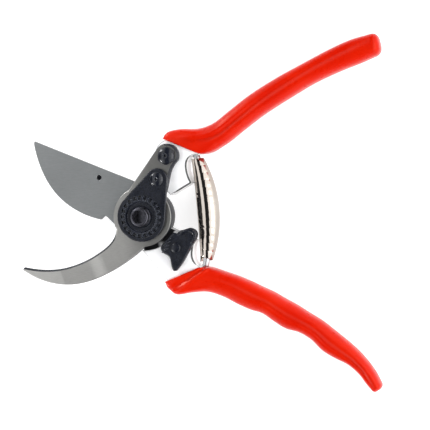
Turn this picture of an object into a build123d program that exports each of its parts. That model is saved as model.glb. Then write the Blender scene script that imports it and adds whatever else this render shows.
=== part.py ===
"""Bypass hand pruner: forged handles, curved cutting blade, hooked counter blade, volute spring.

Frame: millimetres, +Z up. The origin is the centre of the pivot bolt head's flat underside, on
which the tool lies. +X runs from the pivot towards the grips, midway between them. The tool is
modelled open, in its rest pose.
"""

import os

from build123d import *

os.makedirs("parts", exist_ok=True)

# ---- Heights of the stack at the pivot, from the floor up ----
running_gap = 0.05          # between flat faces that slide on each other
head_thick = 3.0            # pivot bolt head, at the bottom
hub_bottom = head_thick + running_gap
hub_top = 10.2              # top of the blade handle's hub
blade_thick = 3.2
blade_top = hub_top + blade_thick
counter_bottom = blade_top + running_gap
counter_thick = 3.55
counter_top = counter_bottom + counter_thick
lower_tang_top = 13.1       # blade handle outside its hub, clear of the counter blade
plate_thick = 1.9           # locking plate
nut_thick = 2.5
bolt_end_top = 22.4

# ---- Pivot ----
head_radius = 9.0
shank_radius = 6.0
thread_radius = 5.0
bolt_end_radius = 4.6
socket_radius = 3.3
socket_depth = 2.8
bush_radius = 8.0
fit_clearance = 0.05        # radial, a pin that turns in its hole
hub_radius = 13.4           # blade handle's hub
shoulder_radius = 17.0      # where the blade handle's tang steps up from its hub
counter_hub_radius = 15.0
blade_hub_radius = 14.6
clear_radius = shoulder_radius + 0.45

# ---- Where the tangs and the arm leave the hub, in degrees from +X ----
upper_tang_angles = (38.5, 67.0, 96.0)      # first, middle, last
lower_tang_angles = (-94.0, -60.0, -24.4)
arm_angles = (42.0, 118.0)

# ---- Centre nut and locking plate ----
nut_radius = 10.3
nut_teeth = 21
tooth_radius = 0.75
plate_radius = 12.4
plate_bore = nut_radius + 0.2
plate_tip = (8.1, 18.8)
plate_tip_radius = 5.4
locking_screw_radius = 1.8
locking_screw_head = 3.5
locking_screw_head_thick = 1.6
locking_screw_bottom = 8.0
locking_pin_slack = 0.08    # radial, in the centre nut's notches

# ---- Counter blade fixings ----
arm_end = (12.6, 30.4)
arm_end_radius = 6.0
arm_bolt_radius = 2.6
arm_bolt_head = 4.6
arm_bolt_head_thick = 2.6
arm_nut_radius = 4.4
arm_nut_thick = 2.6
dowel_place = (4.6, 19.9)
dowel_radius = 1.2
dowel_depth = 5.0

# ---- Cutting blade fixings ----
blade_screw_ring = 10.4     # radius of their circle about the pivot
blade_screw_angles = (150.0, 250.0)
blade_screw_radius = 1.4
blade_screw_head = 2.1
blade_screw_head_thick = 1.6
blade_screw_top = blade_top - 0.8
lug_hole = (-23.8, 19.5)
lug_hole_radius = 1.3
lug_hole_depth = 2.4

# ---- Grips ----
grip_bottom = 0.5
grip_top = 15.9
upper_grip_round = 3.5
lower_grip_round = 2.5

# ---- Volute spring, along its bent axis ----
spring_height = 8.3         # height of its axis above the floor
spring_top = (26.4, 28.8)
spring_middle = (32.0, 2.0)
spring_foot = (31.0, -21.8)
spring_radii = [3.0, 4.8, 5.75, 5.1, 3.0]   # evenly spaced from its top to its foot
spring_bore = 2.0
stud_radius = 1.7
stud_length = 6.5
stud_buried = 3.0

# ---- Thumb catch ----
catch_place = (17.6, -15.2)
catch_bottom = 13.8
catch_thick = 3.4
catch_pin_radius = 2.0
catch_pin_head = 2.5
catch_pin_head_thick = 0.9
catch_pin_depth = 6.0
catch_washer_radius = 3.4

# ---- Rounded edges of the turned pieces ----
head_edge = 0.5
socket_edge = 0.4
screw_dome = 1.2
stud_round = 0.8
seat_overcut = 0.2          # how far a stud's hole starts outside its seat

# Outlines. Each is the edge of a piece seen from above, with only the points its shape needs.
upper_seat = [(24.1, 17.1), (21.9, 22.6), (22.1, 28.4), (27.6, 31.0)]
upper_core_inner = [(27.6, 31.0), (43.0, 40.2), (70.8, 60.0), (100.4, 74.7), (110.0, 78.6)]
upper_core_outer = [(110.5, 85.8), (95.4, 80.6), (60.8, 62.4), (36.0, 44.8), (20.0, 41.4), (10.8, 38.2)]
upper_tang_left = [(10.8, 38.2), (6.7, 34.6), (6.3, 30.2)]
upper_grip_inner = [(28.8, 31.2), (34.9, 32.5), (43.1, 37.5), (55.8, 48.0), (70.8, 57.6),
                    (85.7, 65.7), (100.4, 72.3), (113.4, 76.8)]
upper_grip_end = [(113.4, 76.8), (118.6, 81.8), (115.4, 88.6)]
upper_grip_outer = [(115.4, 88.6), (95.4, 83.0), (75.8, 73.2), (60.8, 64.9), (45.6, 54.8),
                    (35.4, 46.9), (26.0, 43.8), (16.3, 43.7), (9.0, 39.2)]
lower_seat = [(25.8, -11.7), (24.5, -17.8), (25.3, -22.0), (28.2, -24.4)]
lower_core_upper = [(28.2, -24.4), (45.0, -30.8), (76.0, -44.0), (98.0, -58.2), (111.5, -72.0)]
lower_core_lower = [(108.5, -73.0), (98.0, -66.2), (84.0, -57.0), (56.0, -43.6), (30.0, -35.4),
                    (17.5, -36.6), (12.4, -32.6)]
lower_grip_upper = [(29.0, -24.7), (36.0, -25.8), (50.8, -30.5), (76.0, -41.6), (90.9, -50.5),
                    (105.7, -61.9), (115.0, -72.3)]
lower_grip_end = [(115.0, -72.3), (118.6, -81.2), (114.1, -83.3)]
# Finger grooves: the lower edge swells and dips four times along the grip.
lower_grip_lower = [(114.1, -83.3), (107.7, -75.0), (102.3, -71.0), (92.5, -66.7), (84.5, -59.8),
                    (78.5, -56.3), (71.5, -54.6), (62.5, -48.9), (53.3, -45.6), (39.0, -39.2),
                    (31.3, -37.4), (22.5, -38.1), (15.7, -39.0), (10.2, -32.8)]
hook_inner = [(-13.6, -6.2), (-15.2, -11.3), (-22.1, -17.9), (-32.8, -23.7), (-43.6, -26.9),
              (-54.4, -27.6), (-63.2, -26.6)]
hook_tip = (-64.4, -27.4)
hook_outer = [(-63.6, -28.4), (-54.4, -32.7), (-43.6, -34.8), (-32.8, -34.1), (-22.2, -30.5),
              (-11.6, -24.8), (1.4, -14.8)]
arm_waist = [(14.5, 22.3), (13.1, 15.9)]
blade_edge = [(-58.8, 36.6), (-55.5, 25.4), (-45.8, 10.1), (-36.7, 3.3), (-22.8, -1.7)]
blade_tip = (-58.6, 38.0)
blade_spine_end = (5.2, 13.6)   # where the spine runs into the blade's hub
wire_notch = [(-22.8, -1.7), (-20.6, 0.3), (-19.3, -0.6), (-14.4, -5.2)]
catch_left = [(16.3, -26.9), (15.3, -25.2), (14.1, -20.3), (12.6, -18.9), (10.4, -17.6), (9.6, -15.4),
              (12.0, -11.8), (14.6, -8.9), (16.5, -7.7)]
catch_right = [(18.1, -8.1), (20.1, -6.4), (21.8, -6.1), (24.4, -5.2), (28.2, -7.6), (27.9, -10.4),
               (25.7, -14.2), (21.8, -21.2), (17.7, -26.7)]


# A point at a distance from the pivot axis, at an angle counted from +X.
def polar(radius, degrees):
    return Vector(radius, 0).rotate(Axis.Z, degrees)


# Positions that follow from the driving dimensions.
tooth_pitch = 360 / nut_teeth
blade_screw_places = [polar(blade_screw_ring, degrees) for degrees in blade_screw_angles]
plate_top = counter_top + plate_thick
nut_top = counter_top + nut_thick
from_floor = (Align.CENTER, Align.CENTER, Align.MIN)
from_top = (Align.CENTER, Align.CENTER, Align.MAX)
arm_left = Vector(*arm_end) + polar(arm_end_radius, 147)
arm_crown = Vector(*arm_end) + polar(arm_end_radius, 60)
arm_right = Vector(*arm_end) + polar(arm_end_radius, -23)
catch_top = catch_bottom + catch_thick
spring_axis = ThreePointArc((*spring_top, spring_height), (*spring_middle, spring_height),
                            (*spring_foot, spring_height))
spring_top_plane = Plane(spring_axis @ 0, z_dir=-(spring_axis % 0))
spring_foot_plane = Plane(spring_axis @ 1, z_dir=spring_axis % 1)


# ---- Counter blade handle: tang under the arm, bare seat for the spring, core inside the grip ----
with BuildPart() as counter_blade_handle:
    with BuildSketch(Plane.XY.offset(hub_bottom)):
        with BuildLine():
            Line(polar(clear_radius, upper_tang_angles[0]), upper_seat[0])
            Spline(*upper_seat)
            Spline(*upper_core_inner)
            Line(upper_core_inner[-1], upper_core_outer[0])
            Spline(*upper_core_outer)
            Spline(*upper_tang_left)
            Line(upper_tang_left[-1], polar(clear_radius, upper_tang_angles[-1]))
            ThreePointArc(*[polar(clear_radius, degrees) for degrees in reversed(upper_tang_angles)])
        make_face()
    extrude(amount=counter_bottom - hub_bottom)
    with Locations((*arm_end, hub_bottom)):
        Cylinder(arm_bolt_radius, counter_bottom - hub_bottom, align=from_floor, mode=Mode.SUBTRACT)
        Cylinder(arm_nut_radius, arm_nut_thick, align=from_floor, mode=Mode.SUBTRACT)
    with Locations((*dowel_place, counter_bottom)):
        Cylinder(dowel_radius, dowel_depth, align=from_top, mode=Mode.SUBTRACT)
    with Locations((*plate_tip, counter_bottom)):
        Cylinder(locking_screw_radius, counter_bottom - locking_screw_bottom, align=from_top,
                 mode=Mode.SUBTRACT)
    with Locations(spring_top_plane.offset(-seat_overcut)):
        Cylinder(stud_radius, stud_buried + seat_overcut, align=from_floor, mode=Mode.SUBTRACT)
counter_blade_handle.part.label = "counter_blade_handle"
export_step(counter_blade_handle.part, "parts/counter_blade_handle.step")

# ---- Counter blade handle grip: a dipped sleeve over the core ----
with BuildPart() as upper_grip:
    with BuildSketch(Plane.XY.offset(grip_bottom)):
        with BuildLine():
            Spline(*upper_grip_inner)
            Spline(*upper_grip_end)
            Spline(*upper_grip_outer)
            Line(upper_grip_outer[-1], upper_grip_inner[0])
        make_face()
    extrude(amount=grip_top - grip_bottom)
    fillet(upper_grip.edges().filter_by(Plane.XY), upper_grip_round)
    add(counter_blade_handle.part, mode=Mode.SUBTRACT)
    with Locations(spring_top_plane):
        Cylinder(stud_radius, stud_buried, align=from_floor, mode=Mode.SUBTRACT)
upper_grip.part.label = "upper_grip"
export_step(upper_grip.part, "parts/upper_grip.step")

# ---- Blade handle: hub around the pivot, tang under the catch, core inside the grip ----
shoulder = [polar(shoulder_radius, degrees) for degrees in lower_tang_angles]
with BuildPart() as blade_handle:
    with BuildSketch(Plane.XY.offset(hub_bottom)):
        Circle(hub_radius)
        with BuildLine():
            ThreePointArc(*shoulder)
            Polyline(shoulder[-1], (0, 0), shoulder[0])
        make_face()
    extrude(amount=hub_top - hub_bottom)
    with BuildSketch(Plane.XY.offset(hub_bottom)):
        with BuildLine():
            Line(shoulder[-1], lower_seat[0])
            Spline(*lower_seat)
            Spline(*lower_core_upper)
            Line(lower_core_upper[-1], lower_core_lower[0])
            Spline(*lower_core_lower)
            Line(lower_core_lower[-1], shoulder[0])
            ThreePointArc(*shoulder)
        make_face()
    extrude(amount=lower_tang_top - hub_bottom)
    with Locations((0, 0, hub_bottom)):
        Cylinder(bush_radius, hub_top - hub_bottom, align=from_floor, mode=Mode.SUBTRACT)
    with Locations(*[place + Vector(0, 0, hub_bottom) for place in blade_screw_places]):
        Cylinder(blade_screw_radius, hub_top - hub_bottom, align=from_floor, mode=Mode.SUBTRACT)
        Cylinder(blade_screw_head, blade_screw_head_thick, align=from_floor, mode=Mode.SUBTRACT)
    with Locations((*catch_place, lower_tang_top)):
        Cylinder(catch_pin_radius, catch_pin_depth, align=from_top, mode=Mode.SUBTRACT)
    with Locations(spring_foot_plane.offset(-seat_overcut)):
        Cylinder(stud_radius, stud_buried + seat_overcut, align=from_floor, mode=Mode.SUBTRACT)
blade_handle.part.label = "blade_handle"
export_step(blade_handle.part, "parts/blade_handle.step")

# ---- Blade handle grip, with finger grooves ----
with BuildPart() as lower_grip:
    with BuildSketch(Plane.XY.offset(grip_bottom)):
        with BuildLine():
            Spline(*lower_grip_upper)
            Spline(*lower_grip_end)
            Spline(*lower_grip_lower)
            Line(lower_grip_lower[-1], lower_grip_upper[0])
        make_face()
    extrude(amount=grip_top - grip_bottom)
    fillet(lower_grip.edges().filter_by(GeomType.BSPLINE).filter_by(Plane.XY), lower_grip_round)
    add(blade_handle.part, mode=Mode.SUBTRACT)
    with Locations(spring_foot_plane):
        Cylinder(stud_radius, stud_buried, align=from_floor, mode=Mode.SUBTRACT)
lower_grip.part.label = "lower_grip"
export_step(lower_grip.part, "parts/lower_grip.step")

# ---- Cutting blade: curved edge, straight spine tangent to its round hub ----
with BuildPart() as cutting_blade:
    with BuildSketch(Plane.XY.offset(hub_top)):
        with BuildLine():
            Spline(*blade_edge)
            Polyline(*wire_notch, (0, 0), blade_spine_end, blade_tip, blade_edge[0])
        make_face()
        Circle(blade_hub_radius)
        Circle(bush_radius, mode=Mode.SUBTRACT)
    extrude(amount=blade_thick)
    with Locations((*lug_hole, blade_top)):
        Cylinder(lug_hole_radius, lug_hole_depth, align=from_top, mode=Mode.SUBTRACT)
    with Locations(*[place + Vector(0, 0, hub_top) for place in blade_screw_places]):
        Cylinder(blade_screw_radius, blade_screw_top - hub_top, align=from_floor, mode=Mode.SUBTRACT)
cutting_blade.part.label = "cutting_blade"
export_step(cutting_blade.part, "parts/cutting_blade.step")

# ---- Counter blade: hook, hub and arm in one plate ----
with BuildPart() as counter_blade:
    with BuildSketch(Plane.XY.offset(counter_bottom)):
        Circle(counter_hub_radius)
        with BuildLine():
            Spline(*hook_inner)
            ThreePointArc(hook_inner[-1], hook_tip, hook_outer[0])
            Spline(*hook_outer)
            Polyline(hook_outer[-1], (0, 0), hook_inner[0])
        make_face()
        with BuildLine():
            Polyline((0, 0), polar(counter_hub_radius, arm_angles[1]), arm_left)
            ThreePointArc(arm_left, arm_crown, arm_right)
            Spline(arm_right, *arm_waist, polar(counter_hub_radius, arm_angles[0]))
            Line(polar(counter_hub_radius, arm_angles[0]), (0, 0))
        make_face()
        Circle(shank_radius, mode=Mode.SUBTRACT)
        with Locations(arm_end):
            Circle(arm_bolt_radius, mode=Mode.SUBTRACT)
        with Locations(plate_tip):
            Circle(locking_screw_radius, mode=Mode.SUBTRACT)
        with Locations(dowel_place):
            Circle(dowel_radius, mode=Mode.SUBTRACT)
    extrude(amount=counter_thick)
counter_blade.part.label = "counter_blade"
export_step(counter_blade.part, "parts/counter_blade.step")

# ---- Pivot bolt: flat head underneath, shank, thread and socketed end ----
with BuildPart() as pivot_bolt:
    with Locations((0, 0, 0)):
        Cylinder(head_radius, head_thick, align=from_floor)
    with Locations((0, 0, head_thick)):
        Cylinder(shank_radius, counter_top - head_thick, align=from_floor)
    with Locations((0, 0, counter_top)):
        Cylinder(thread_radius, nut_thick, align=from_floor)
    with Locations((0, 0, nut_top)):
        Cylinder(bolt_end_radius, bolt_end_top - nut_top, align=from_floor)
    chamfer(pivot_bolt.faces().sort_by(Axis.Z)[0].edges(), head_edge)
    chamfer(pivot_bolt.faces().sort_by(Axis.Z)[-1].edges(), socket_edge)
    with BuildSketch(Plane.XY.offset(bolt_end_top)):
        RegularPolygon(socket_radius, 6, major_radius=True)
    extrude(amount=-socket_depth, mode=Mode.SUBTRACT)
pivot_bolt.part.label = "pivot_bolt"
export_step(pivot_bolt.part, "parts/pivot_bolt.step")

# ---- Pivot bush: bronze, pressed through the blade handle's hub and the cutting blade ----
with BuildPart() as pivot_bush:
    with Locations((0, 0, hub_bottom)):
        Cylinder(bush_radius, blade_top - hub_bottom, align=from_floor)
        Cylinder(shank_radius + fit_clearance, blade_top - hub_bottom, align=from_floor,
                 mode=Mode.SUBTRACT)
pivot_bush.part.label = "pivot_bush"
export_step(pivot_bush.part, "parts/pivot_bush.step")

# ---- Centre nut: round, with notches all round its rim ----
with BuildPart() as centre_nut:
    with Locations((0, 0, counter_top)):
        Cylinder(nut_radius, nut_thick, align=from_floor)
    chamfer(centre_nut.faces().sort_by(Axis.Z)[-1].edges(), head_edge)
    with Locations((0, 0, counter_top)):
        Cylinder(thread_radius, nut_thick, align=from_floor, mode=Mode.SUBTRACT)
        with PolarLocations(nut_radius, nut_teeth):
            Cylinder(tooth_radius, nut_thick, align=from_floor, mode=Mode.SUBTRACT)
centre_nut.part.label = "centre_nut"
export_step(centre_nut.part, "parts/centre_nut.step")

# ---- Locking plate: a teardrop that keeps the centre nut from turning ----
with BuildPart() as locking_plate:
    with BuildSketch(Plane.XY.offset(counter_top)):
        Circle(plate_radius)
        with Locations(plate_tip):
            Circle(plate_tip_radius)
        make_hull()
        Circle(plate_bore, mode=Mode.SUBTRACT)
        with Locations(plate_tip):
            Circle(locking_screw_radius, mode=Mode.SUBTRACT)
    extrude(amount=plate_thick)
    with PolarLocations(nut_radius, 3, start_angle=3 * tooth_pitch, angular_range=3 * tooth_pitch):
        with Locations((0, 0, counter_top)):
            Cylinder(tooth_radius - locking_pin_slack, plate_thick, align=from_floor)
locking_plate.part.label = "locking_plate"
export_step(locking_plate.part, "parts/locking_plate.step")

# ---- Locking screw, with a domed head ----
with BuildPart() as locking_screw:
    with Locations((*plate_tip, locking_screw_bottom)):
        Cylinder(locking_screw_radius, plate_top - locking_screw_bottom, align=from_floor)
    with Locations((*plate_tip, plate_top)):
        Cylinder(locking_screw_head, locking_screw_head_thick, align=from_floor)
    fillet(locking_screw.faces().sort_by(Axis.Z)[-1].edges(), screw_dome)
locking_screw.part.label = "locking_screw"
export_step(locking_screw.part, "parts/locking_screw.step")

# ---- Arm bolt and its nut, which clamp the counter blade to its handle ----
with BuildPart() as arm_bolt:
    with Locations((*arm_end, hub_bottom)):
        Cylinder(arm_bolt_radius, counter_top - hub_bottom, align=from_floor)
    with Locations((*arm_end, counter_top)):
        Cylinder(arm_bolt_head, arm_bolt_head_thick, align=from_floor)
    fillet(arm_bolt.faces().sort_by(Axis.Z)[-1].edges(), screw_dome)
arm_bolt.part.label = "arm_bolt"
export_step(arm_bolt.part, "parts/arm_bolt.step")

with BuildPart() as arm_nut:
    with Locations((*arm_end, hub_bottom)):
        Cylinder(arm_nut_radius, arm_nut_thick, align=from_floor)
        Cylinder(arm_bolt_radius, arm_nut_thick, align=from_floor, mode=Mode.SUBTRACT)
arm_nut.part.label = "arm_nut"
export_step(arm_nut.part, "parts/arm_nut.step")

# ---- Dowel that keeps the counter blade from turning on its handle ----
with BuildPart() as arm_dowel:
    with Locations((*dowel_place, counter_bottom - dowel_depth)):
        Cylinder(dowel_radius, dowel_depth + counter_thick, align=from_floor)
arm_dowel.part.label = "arm_dowel"
export_step(arm_dowel.part, "parts/arm_dowel.step")

# ---- Blade screws: two, countersunk from below ----
with BuildPart() as blade_screws:
    with Locations(*[place + Vector(0, 0, hub_bottom) for place in blade_screw_places]):
        Cylinder(blade_screw_head, blade_screw_head_thick, align=from_floor)
        Cylinder(blade_screw_radius, blade_screw_top - hub_bottom, align=from_floor)
blade_screws.part.label = "blade_screws"
export_step(blade_screws.part, "parts/blade_screws.step")

# ---- Volute spring: strip wound into two cones, here one hollow spindle on its bent axis ----
with BuildPart() as spring:
    for step, radius in enumerate(spring_radii):
        share = step / (len(spring_radii) - 1)
        with BuildSketch(Plane(spring_axis @ share, x_dir=(0, 0, 1), z_dir=spring_axis % share)):
            Circle(radius)
            Circle(spring_bore, mode=Mode.SUBTRACT)
    loft()
spring.part.label = "spring"
export_step(spring.part, "parts/spring.step")

# ---- Studs that hold the spring's ends on the two handles ----
with BuildPart() as upper_spring_stud:
    with Locations(spring_top_plane.offset(stud_buried)):
        Cylinder(stud_radius, stud_length, align=from_top)
    fillet(upper_spring_stud.faces().sort_by(Axis.Y)[0].edges(), stud_round)
upper_spring_stud.part.label = "upper_spring_stud"
export_step(upper_spring_stud.part, "parts/upper_spring_stud.step")

with BuildPart() as lower_spring_stud:
    with Locations(spring_foot_plane.offset(stud_buried)):
        Cylinder(stud_radius, stud_length, align=from_top)
    fillet(lower_spring_stud.faces().sort_by(Axis.Y)[-1].edges(), stud_round)
lower_spring_stud.part.label = "lower_spring_stud"
export_step(lower_spring_stud.part, "parts/lower_spring_stud.step")

# ---- Thumb catch: a hooked lever that swings on a pin above the blade handle ----
with BuildPart() as thumb_catch:
    with BuildSketch(Plane.XY.offset(catch_bottom)):
        with BuildLine():
            Spline(*catch_left)
            Line(catch_left[-1], catch_right[0])
            Spline(*catch_right)
            Line(catch_right[-1], catch_left[0])
        make_face()
        with Locations(catch_place):
            Circle(catch_pin_radius + fit_clearance, mode=Mode.SUBTRACT)
    extrude(amount=catch_thick)
thumb_catch.part.label = "thumb_catch"
export_step(thumb_catch.part, "parts/thumb_catch.step")

# ---- Thumb catch pin, with a flat head ----
with BuildPart() as catch_pin:
    with Locations((*catch_place, lower_tang_top - catch_pin_depth)):
        Cylinder(catch_pin_radius, catch_top + running_gap - lower_tang_top + catch_pin_depth,
                 align=from_floor)
    with Locations((*catch_place, catch_top + running_gap)):
        Cylinder(catch_pin_head, catch_pin_head_thick, align=from_floor)
    chamfer(catch_pin.faces().sort_by(Axis.Z)[-1].edges(), socket_edge)
catch_pin.part.label = "catch_pin"
export_step(catch_pin.part, "parts/catch_pin.step")

# ---- Friction washer under the catch ----
with BuildPart() as catch_washer:
    with Locations((*catch_place, lower_tang_top)):
        Cylinder(catch_washer_radius, catch_bottom - running_gap - lower_tang_top, align=from_floor)
        Cylinder(catch_pin_radius, catch_bottom - running_gap - lower_tang_top, align=from_floor,
                 mode=Mode.SUBTRACT)
catch_washer.part.label = "catch_washer"
export_step(catch_washer.part, "parts/catch_washer.step")
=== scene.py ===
"""Bypass pruner: the looks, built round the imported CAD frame. Metres, same frame as the CAD."""

from math import atan2, cos, exp, hypot, pi, radians, sin

import bmesh
import bpy
from mathutils import Matrix, Vector
from mathutils.geometry import tessellate_polygon


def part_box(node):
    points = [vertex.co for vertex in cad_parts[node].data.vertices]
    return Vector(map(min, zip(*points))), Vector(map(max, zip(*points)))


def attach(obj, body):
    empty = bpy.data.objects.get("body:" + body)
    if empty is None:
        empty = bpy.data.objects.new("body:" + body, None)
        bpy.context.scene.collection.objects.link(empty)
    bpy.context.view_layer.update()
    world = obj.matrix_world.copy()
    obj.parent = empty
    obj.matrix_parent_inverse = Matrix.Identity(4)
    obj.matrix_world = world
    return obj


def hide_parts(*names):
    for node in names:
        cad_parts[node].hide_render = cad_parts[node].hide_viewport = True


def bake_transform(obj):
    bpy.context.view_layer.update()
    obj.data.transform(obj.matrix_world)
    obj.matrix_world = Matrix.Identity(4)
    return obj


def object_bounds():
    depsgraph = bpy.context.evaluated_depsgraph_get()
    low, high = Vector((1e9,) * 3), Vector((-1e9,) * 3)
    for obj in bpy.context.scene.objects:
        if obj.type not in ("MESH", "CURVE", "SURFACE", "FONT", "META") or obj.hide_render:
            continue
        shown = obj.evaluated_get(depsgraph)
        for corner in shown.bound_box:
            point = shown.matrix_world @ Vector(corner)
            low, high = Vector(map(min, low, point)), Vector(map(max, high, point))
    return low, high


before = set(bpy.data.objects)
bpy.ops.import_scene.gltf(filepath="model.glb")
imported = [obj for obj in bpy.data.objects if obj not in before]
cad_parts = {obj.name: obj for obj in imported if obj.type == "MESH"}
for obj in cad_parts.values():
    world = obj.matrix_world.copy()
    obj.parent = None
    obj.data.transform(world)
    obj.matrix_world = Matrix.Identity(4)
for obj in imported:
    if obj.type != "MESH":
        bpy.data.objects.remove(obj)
cad_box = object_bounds()
MM = 0.001
UP = Vector((0, 0, 1))
PIVOT_SIDE = "counter_side"
BLADE_SIDE = "blade_side"


# ---------------------------------------------------------------- mesh helpers

def new_piece(name, verts, faces, material, smooth_deg=35):
    """A mesh object from vertices in metres; edges sharper than smooth_deg stay crisp."""
    mesh = bpy.data.meshes.new(name)
    mesh.from_pydata([tuple(v) for v in verts], [], faces)
    work = bmesh.new()
    work.from_mesh(mesh)
    bmesh.ops.remove_doubles(work, verts=work.verts, dist=1e-7)
    bmesh.ops.recalc_face_normals(work, faces=work.faces)
    work.to_mesh(mesh)
    work.free()
    mesh.shade_smooth()
    mesh.set_sharp_from_angle(angle=radians(smooth_deg))
    piece = bpy.data.objects.new(name, mesh)
    bpy.context.scene.collection.objects.link(piece)
    mesh.materials.append(material)
    return piece


def finish_piece(piece, body, slot, *nodes):
    """Says which body the piece rides on and what it replaces; slot is not used."""
    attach(piece, body)
    if nodes:
        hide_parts(*nodes)


SPLINE_STEPS = 24              # fine steps between two given points


def spline(points, count):
    """Evenly spaced points along a smooth curve through given points (any dimension)."""
    ends = [2 * points[0] - points[1]] + list(points) + [2 * points[-1] - points[-2]]
    fine = []
    for i in range(1, len(ends) - 2):
        a, b, c, d = ends[i - 1:i + 3]
        for step in range(SPLINE_STEPS):
            t = step / SPLINE_STEPS
            fine.append(0.5 * (2 * b + (c - a) * t + (2 * a - 5 * b + 4 * c - d) * t ** 2
                               + (3 * b - a - 3 * c + d) * t ** 3))
    fine.append(points[-1].copy())
    return respaced(fine, count)


def respaced(line, count):
    """count points at even distances along a polyline, ends included."""
    reach = [0.0]
    for a, b in zip(line, line[1:]):
        reach.append(reach[-1] + (b - a).length)
    out = []
    place = 0
    for i in range(count):
        want = reach[-1] * i / (count - 1)
        while place < len(reach) - 2 and reach[place + 1] < want:
            place += 1
        span = reach[place + 1] - reach[place]
        share = (want - reach[place]) / span if span else 0
        out.append(line[place].lerp(line[place + 1], share))
    return out


def cad_loops(node, height):
    """The outlines, as closed lists of 2-D points, of a CAD node's flat faces that look up at a height."""
    work = bmesh.new()
    work.from_mesh(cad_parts[node].data)
    bmesh.ops.remove_doubles(work, verts=work.verts, dist=2e-6)
    work.normal_update()
    flat = {f for f in work.faces
            if abs(f.normal.z) > 0.99 and abs(f.calc_center_median().z - height) < 0.02 * MM}
    rim = [e for e in work.edges if sum(f in flat for f in e.link_faces) == 1]
    after = {}
    for e in rim:
        face = next(f for f in e.link_faces if f in flat)
        for loop in face.loops:
            if loop.edge == e:
                after.setdefault(loop.vert, []).append(loop.link_loop_next.vert)
    loops = []
    while after:
        first = next(iter(after))
        line = [first]
        while True:
            choices = after.get(line[-1])
            if not choices:
                break
            following = choices.pop()
            if not choices:
                del after[line[-1]]
            if following == first:
                break
            line.append(following)
        loops.append([Vector((v.co.x, v.co.y)) for v in line])
    work.free()
    loops = [l for l in loops if len(l) > 2]
    loops.sort(key=lambda l: -abs(area(l)))
    return loops


def area(loop):
    """Signed area of a closed loop; it is positive where the loop runs anticlockwise."""
    return sum(a.x * b.y - b.x * a.y for a, b in zip(loop, loop[1:] + loop[:1])) / 2


def even_loop(loop, step, corner_deg=28):
    """The loop with points about a step apart, its sharp corners kept. Runs anticlockwise."""
    if area(loop) < 0:
        loop = loop[::-1]
    count = len(loop)
    corners = []
    for i in range(count):
        before = loop[i] - loop[i - 1]
        later = loop[(i + 1) % count] - loop[i]
        if before.length and later.length and before.angle(later) > radians(corner_deg):
            corners.append(i)
    if not corners:
        line = [p.copy() for p in loop + loop[:1]]
        total = sum((b - a).length for a, b in zip(line, line[1:]))
        return respaced(line, max(12, round(total / step)) + 1)[:-1]
    out = []
    for here, there in zip(corners, corners[1:] + [corners[0] + count]):
        line = [loop[i % count].copy() for i in range(here, there + 1)]
        total = sum((b - a).length for a, b in zip(line, line[1:]))
        out += respaced(line, max(1, round(total / step)) + 1)[:-1]
    return out


def moved_in(loop, distance):
    """The loop moved towards its inside; distance is one number or one for each point."""
    out = []
    count = len(loop)
    for i, point in enumerate(loop):
        before = (point - loop[i - 1]).normalized()
        later = (loop[(i + 1) % count] - point).normalized()
        inward_a = Vector((-before.y, before.x))
        inward_b = Vector((-later.y, later.x))
        middle = inward_a + inward_b
        middle = middle.normalized() if middle.length > 1e-6 else inward_a
        stretch = 1 / max(0.5, middle.dot(inward_a))
        far = distance[i] if isinstance(distance, list) else distance
        out.append(point + middle * far * stretch)
    return out


def circle(radius, z, count, centre=(0.0, 0.0)):
    """Evenly spaced points round a level circle."""
    turns = [2 * pi * i / count for i in range(count)]
    return [Vector((centre[0] + radius * cos(t), centre[1] + radius * sin(t), z)) for t in turns]


def tube_faces(levels, size, base=0, closed=False):
    """Quads between rings of equal size; closed also joins the last ring to the first."""
    faces = []
    for level in range(levels if closed else levels - 1):
        low, high = base + level * size, base + (level + 1) % levels * size
        for i in range(size):
            j = (i + 1) % size
            faces.append((low + i, low + j, high + j, high + i))
    return faces


def tube(name, rings, material, smooth_deg, closed=False):
    """A solid through rings of equal size, capped at both ends unless it is closed on itself."""
    size = len(rings[0])
    faces = tube_faces(len(rings), size, closed=closed)
    if not closed:
        faces += [tuple(range(size)), tuple(range((len(rings) - 1) * size, len(rings) * size))]
    return new_piece(name, [v for ring in rings for v in ring], faces, material, smooth_deg)


def stacked(name, outer, holes, material, smooth_deg=35):
    """A closed solid from rings. outer is a list of rings from bottom to top, each a list of 3-D points;
    each hole is such a list too. The first and last rings are capped."""
    verts, faces = [], []
    for rings in [outer] + holes:
        faces += tube_faces(len(rings), len(rings[0]), base=len(verts))
        for ring in rings:
            verts += ring
    for end in (0, -1):
        groups = [rings[end] for rings in [outer] + holes]
        starts = []
        base = 0
        for rings in [outer] + holes:
            size = len(rings[0])
            starts.append(base + (0 if end == 0 else (len(rings) - 1) * size))
            base += size * len(rings)
        index = [start + i for start, ring in zip(starts, groups) for i in range(len(ring))]
        flat = [[Vector((p[0], p[1], 0)) for p in ring] for ring in groups]
        for triangle in tessellate_polygon(flat):
            faces.append(tuple(index[i] for i in triangle))
    return flat_faces_flat(new_piece(name, verts, faces, material, smooth_deg))


def flat_faces_flat(piece):
    """Shades the level faces of a piece flat, so that a bevel's normals don't smear over them."""
    for face in piece.data.polygons:
        if abs(face.normal.z) > 0.9999:
            face.use_smooth = False
    return piece


ROUNDING_STEPS = 4
HOLE_STEP = 0.3 * MM


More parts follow.
